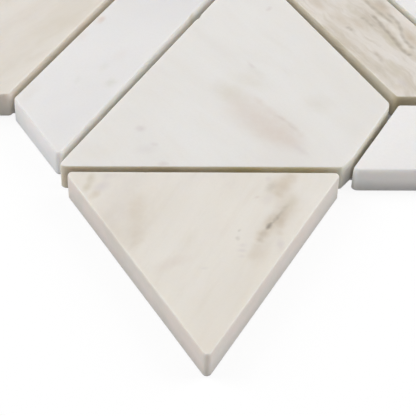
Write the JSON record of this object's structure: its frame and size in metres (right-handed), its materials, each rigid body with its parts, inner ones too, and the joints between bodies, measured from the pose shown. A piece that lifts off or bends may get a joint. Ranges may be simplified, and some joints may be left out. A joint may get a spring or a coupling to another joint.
{
  "type": "marble mosaic tile",
  "caption": "Mesh-mounted mosaic sheet of cream, white and brown-veined marble strips, trapezoids and triangles set in turning rhombi with open joints.",
  "frame": {"origin": "under the middle of the sheet, on the back of the mesh", "axes": "+Z out of the stone faces, +X along the horizontal strips, -Y toward the lone tip at the near edge"},
  "size_m": [0.3843, 0.3802, 0.0085],
  "materials": {
    "white_marble": "satin",
    "cream_marble": "satin",
    "brown_veined_marble": "satin",
    "mesh": "matte"
  },
  "bodies": {
    "root": {"cream_trapezoid_1": "cream_marble", "cream_trapezoid_2": "cream_marble", "cream_trapezoid_3": "cream_marble", "cream_trapezoid_4": "cream_marble", "cream_trapezoid_5": "cream_marble", "cream_trapezoid_6": "cream_marble", "cream_triangle_1": "cream_marble", "cream_triangle_2": "cream_marble", "cream_triangle_3": "cream_marble", "cream_triangle_4": "cream_marble", "cream_triangle_5": "cream_marble", "cream_triangle_6": "cream_marble", "mesh_backing": "mesh", "veined_strip_1": "brown_veined_marble", "veined_strip_2": "brown_veined_marble", "veined_strip_3": "brown_veined_marble", "white_strip_1": "white_marble", "white_strip_2": "white_marble", "white_strip_3": "white_marble", "white_strip_4": "white_marble", "white_strip_5": "white_marble", "white_strip_6": "white_marble", "white_trapezoid_1": "white_marble", "white_trapezoid_2": "white_marble", "white_trapezoid_3": "white_marble", "white_triangle_1": "white_marble", "white_triangle_2": "white_marble", "white_triangle_3": "white_marble"}
  },
  "joints": []
}
